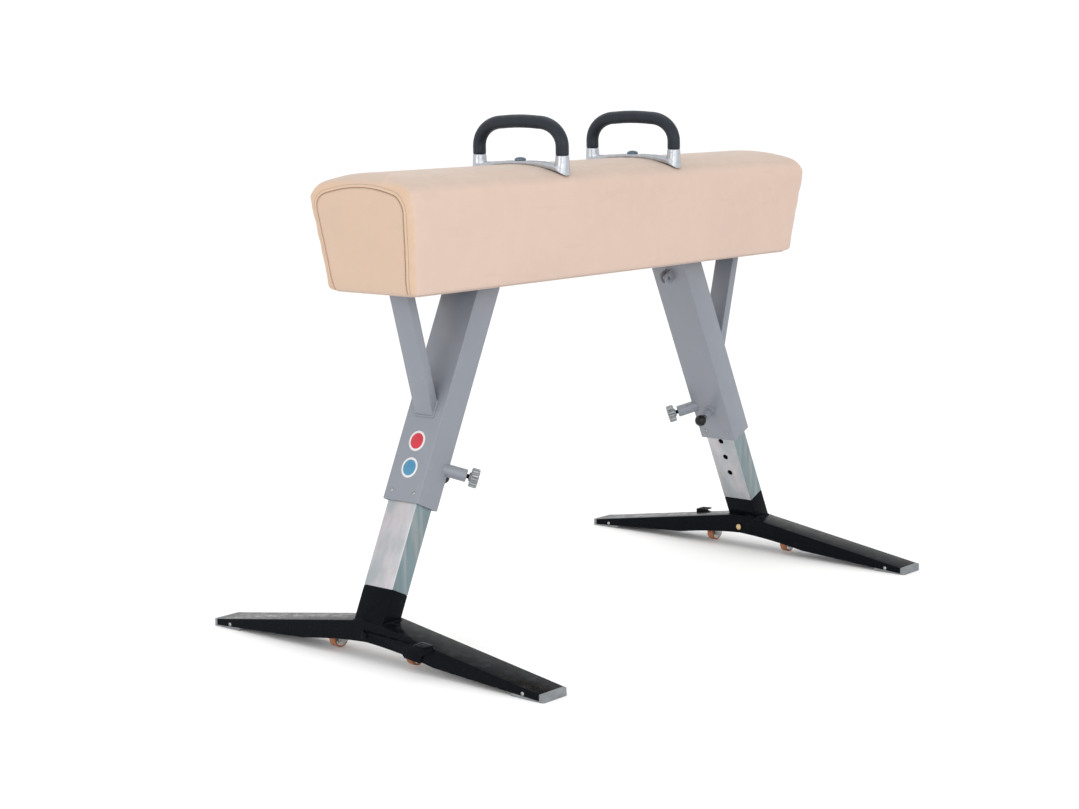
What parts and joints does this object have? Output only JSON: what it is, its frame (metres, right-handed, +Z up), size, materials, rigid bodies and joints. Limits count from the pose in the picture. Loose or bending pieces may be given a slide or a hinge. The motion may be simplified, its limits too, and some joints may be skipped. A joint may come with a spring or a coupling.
{
  "type": "pommel horse",
  "caption": "Leather-covered pommel horse with sliding pommels, on sloping height-adjustable legs with arched feet and drop-down transport wheels.",
  "frame": {"origin": "on the floor, under the middle of the horse", "axes": "+Z up, +X along the horse towards the right end, +Y across it"},
  "size_m": [1.7046, 1.118, 1.294],
  "materials": {
    "leather": "matt natural cowhide, undyed",
    "foam": "open-cell padding",
    "plywood": "sanded birch plywood",
    "grey_paint": "satin silver-grey powder coat",
    "black_paint": "gloss black powder coat",
    "zinc": "galvanised, faintly spangled",
    "steel": "bright zinc-plated steel",
    "aluminium": "polished casting",
    "grip_plastic": "satin charcoal-blue",
    "black_plastic": "gloss moulding",
    "guide_plastic": "natural nylon",
    "shoe_rubber": "matt light-grey moulding",
    "wheel_tread": "orange-brown polyurethane tread"
  },
  "bodies": {
    "horse": {"leather_cover": "leather", "left_end_panel": "leather", "right_end_panel": "leather", "foam_padding": "foam", "wooden_core": "plywood", "bottom_board": "plywood", "left_mount_plate": "grey_paint", "left_outer_tube": "grey_paint", "left_brace": "grey_paint", "left_lower_bush": "guide_plastic", "left_clamp_boss": "aluminium", "left_plunger_housing": "grey_paint", "left_plunger_spring": "steel", "right_mount_plate": "grey_paint", "right_outer_tube": "grey_paint", "right_brace": "grey_paint", "right_lower_bush": "guide_plastic", "right_clamp_boss": "aluminium", "right_plunger_housing": "grey_paint", "right_plunger_spring": "steel"},
    "left_pommel": {"left_pommel_saddle": "aluminium", "left_pommel_grip": "grip_plastic", "left_pommel_rod": "steel", "left_pommel_nut": "steel"},
    "left_pommel_clamp": {"left_pommel_screw": "steel"},
    "left_foot": {"left_upper_bush": "guide_plastic", "left_inner_tube": "zinc", "left_foot_socket": "black_paint", "left_foot_beam": "black_paint", "left_pedal_side_shoe": "shoe_rubber", "left_plain_side_shoe": "shoe_rubber"},
    "left_leg_clamp": {"left_clamp_stud": "black_paint", "left_clamp_knob": "aluminium"},
    "left_plunger": {"left_plunger_pin": "steel", "left_plunger_ball": "black_plastic"},
    "left_transport_pedal": {"left_pedal": "black_paint"},
    "left_pedal_side_fork": {"left_pedal_side_carrier": "steel"},
    "left_pedal_side_roller": {"left_pedal_side_wheel": "wheel_tread"},
    "left_plain_side_fork": {"left_plain_side_carrier": "steel"},
    "left_plain_side_roller": {"left_plain_side_wheel": "wheel_tread"},
    "right_pommel": {"right_pommel_saddle": "aluminium", "right_pommel_grip": "grip_plastic", "right_pommel_rod": "steel", "right_pommel_nut": "steel"},
    "right_pommel_clamp": {"right_pommel_screw": "steel"},
    "right_foot": {"right_upper_bush": "guide_plastic", "right_inner_tube": "zinc", "right_foot_socket": "black_paint", "right_foot_beam": "black_paint", "right_pedal_side_shoe": "shoe_rubber", "right_plain_side_shoe": "shoe_rubber"},
    "right_leg_clamp": {"right_clamp_stud": "black_paint", "right_clamp_knob": "aluminium"},
    "right_plunger": {"right_plunger_pin": "steel", "right_plunger_ball": "black_plastic"},
    "right_transport_pedal": {"right_pedal": "black_paint"},
    "right_pedal_side_fork": {"right_pedal_side_carrier": "steel"},
    "right_pedal_side_roller": {"right_pedal_side_wheel": "wheel_tread"},
    "right_plain_side_fork": {"right_plain_side_carrier": "steel"},
    "right_plain_side_roller": {"right_plain_side_wheel": "wheel_tread"}
  },
  "joints": [
    {"name": "left_pommel_slide", "type": "slide", "parent": "horse", "child": "left_pommel", "axis": [1, 0, 0], "range_m": [0, 0.03]},
    {"name": "left_pommel_screw_turn", "type": "hinge", "parent": "left_pommel", "child": "left_pommel_clamp", "pos_m": [-0.23, 0, 1.18], "axis": [0, 0, 1], "range_deg": [0, 720]},
    {"name": "left_leg_extension", "type": "slide", "parent": "horse", "child": "left_foot", "axis": [-0.4187, 0, -0.9081], "range_m": [-0.218, 0.1635]},
    {"name": "left_clamp_knob_turn", "type": "hinge", "parent": "horse", "child": "left_leg_clamp", "pos_m": [-0.53807, -0.10496, 0.41969], "axis": [0.6421, -0.7071, -0.296], "range_deg": [0, 540]},
    {"name": "left_index_plunger_pull", "type": "slide", "parent": "horse", "child": "left_plunger", "axis": [0.9081, 0, -0.4187], "range_m": [0, 0.012], "stiffness_N_per_m": 1500, "springref_m": -0.006, "deforming": ["left_plunger_spring"]},
    {"name": "left_pedal_press", "type": "hinge", "parent": "left_foot", "child": "left_transport_pedal", "pos_m": [-0.7745, 0, 0.066], "axis": [1, 0, 0], "range_deg": [0, 6]},
    {"name": "left_pedal_side_fork_swing", "type": "hinge", "parent": "left_foot", "child": "left_pedal_side_fork", "pos_m": [-0.7745, -0.07, 0.07], "axis": [1, 0, 0], "range_deg": [0, 15.4]},
    {"name": "left_pedal_side_wheel_spin", "type": "hinge", "parent": "left_pedal_side_fork", "child": "left_pedal_side_roller", "pos_m": [-0.7745, -0.122, 0.03], "axis": [0, 1, 0], "continuous": true},
    {"name": "left_plain_side_fork_swing", "type": "hinge", "parent": "left_foot", "child": "left_plain_side_fork", "pos_m": [-0.7745, 0.07, 0.07], "axis": [-1, 0, 0], "range_deg": [0, 11.5]},
    {"name": "left_plain_side_wheel_spin", "type": "hinge", "parent": "left_plain_side_fork", "child": "left_plain_side_roller", "pos_m": [-0.7745, 0.14, 0.03], "axis": [0, 1, 0], "continuous": true},
    {"name": "right_pommel_slide", "type": "slide", "parent": "horse", "child": "right_pommel", "axis": [-1, 0, 0], "range_m": [0, 0.03]},
    {"name": "right_pommel_screw_turn", "type": "hinge", "parent": "right_pommel", "child": "right_pommel_clamp", "pos_m": [0.23, 0, 1.18], "axis": [0, 0, 1], "range_deg": [0, 720]},
    {"name": "right_leg_extension", "type": "slide", "parent": "horse", "child": "right_foot", "axis": [0.4187, 0, -0.9081], "range_m": [-0.218, 0.1635]},
    {"name": "right_clamp_knob_turn", "type": "hinge", "parent": "horse", "child": "right_leg_clamp", "pos_m": [0.53807, 0.10496, 0.41969], "axis": [-0.6421, 0.7071, -0.296], "range_deg": [0, 540]},
    {"name": "right_index_plunger_pull", "type": "slide", "parent": "horse", "child": "right_plunger", "axis": [-0.9081, 0, -0.4187], "range_m": [0, 0.012], "stiffness_N_per_m": 1500, "springref_m": -0.006, "deforming": ["right_plunger_spring"]},
    {"name": "right_pedal_press", "type": "hinge", "parent": "right_foot", "child": "right_transport_pedal", "pos_m": [0.7745, 0, 0.066], "axis": [-1, 0, 0], "range_deg": [0, 6]},
    {"name": "right_pedal_side_fork_swing", "type": "hinge", "parent": "right_foot", "child": "right_pedal_side_fork", "pos_m": [0.7745, 0.07, 0.07], "axis": [-1, 0, 0], "range_deg": [0, 15.4]},
    {"name": "right_pedal_side_wheel_spin", "type": "hinge", "parent": "right_pedal_side_fork", "child": "right_pedal_side_roller", "pos_m": [0.7745, 0.122, 0.03], "axis": [0, 1, 0], "continuous": true},
    {"name": "right_plain_side_fork_swing", "type": "hinge", "parent": "right_foot", "child": "right_plain_side_fork", "pos_m": [0.7745, -0.07, 0.07], "axis": [1, 0, 0], "range_deg": [0, 11.5]},
    {"name": "right_plain_side_wheel_spin", "type": "hinge", "parent": "right_plain_side_fork", "child": "right_plain_side_roller", "pos_m": [0.7745, -0.14, 0.03], "axis": [0, 1, 0], "continuous": true}
  ],
  "couplings": [
    {"joint": "left_pedal_side_fork_swing", "follows": "left_pedal_press", "ratio": 2.55},
    {"joint": "left_plain_side_fork_swing", "follows": "left_pedal_press", "ratio": 1.9},
    {"joint": "right_pedal_side_fork_swing", "follows": "right_pedal_press", "ratio": 2.55},
    {"joint": "right_plain_side_fork_swing", "follows": "right_pedal_press", "ratio": 1.9}
  ]
}
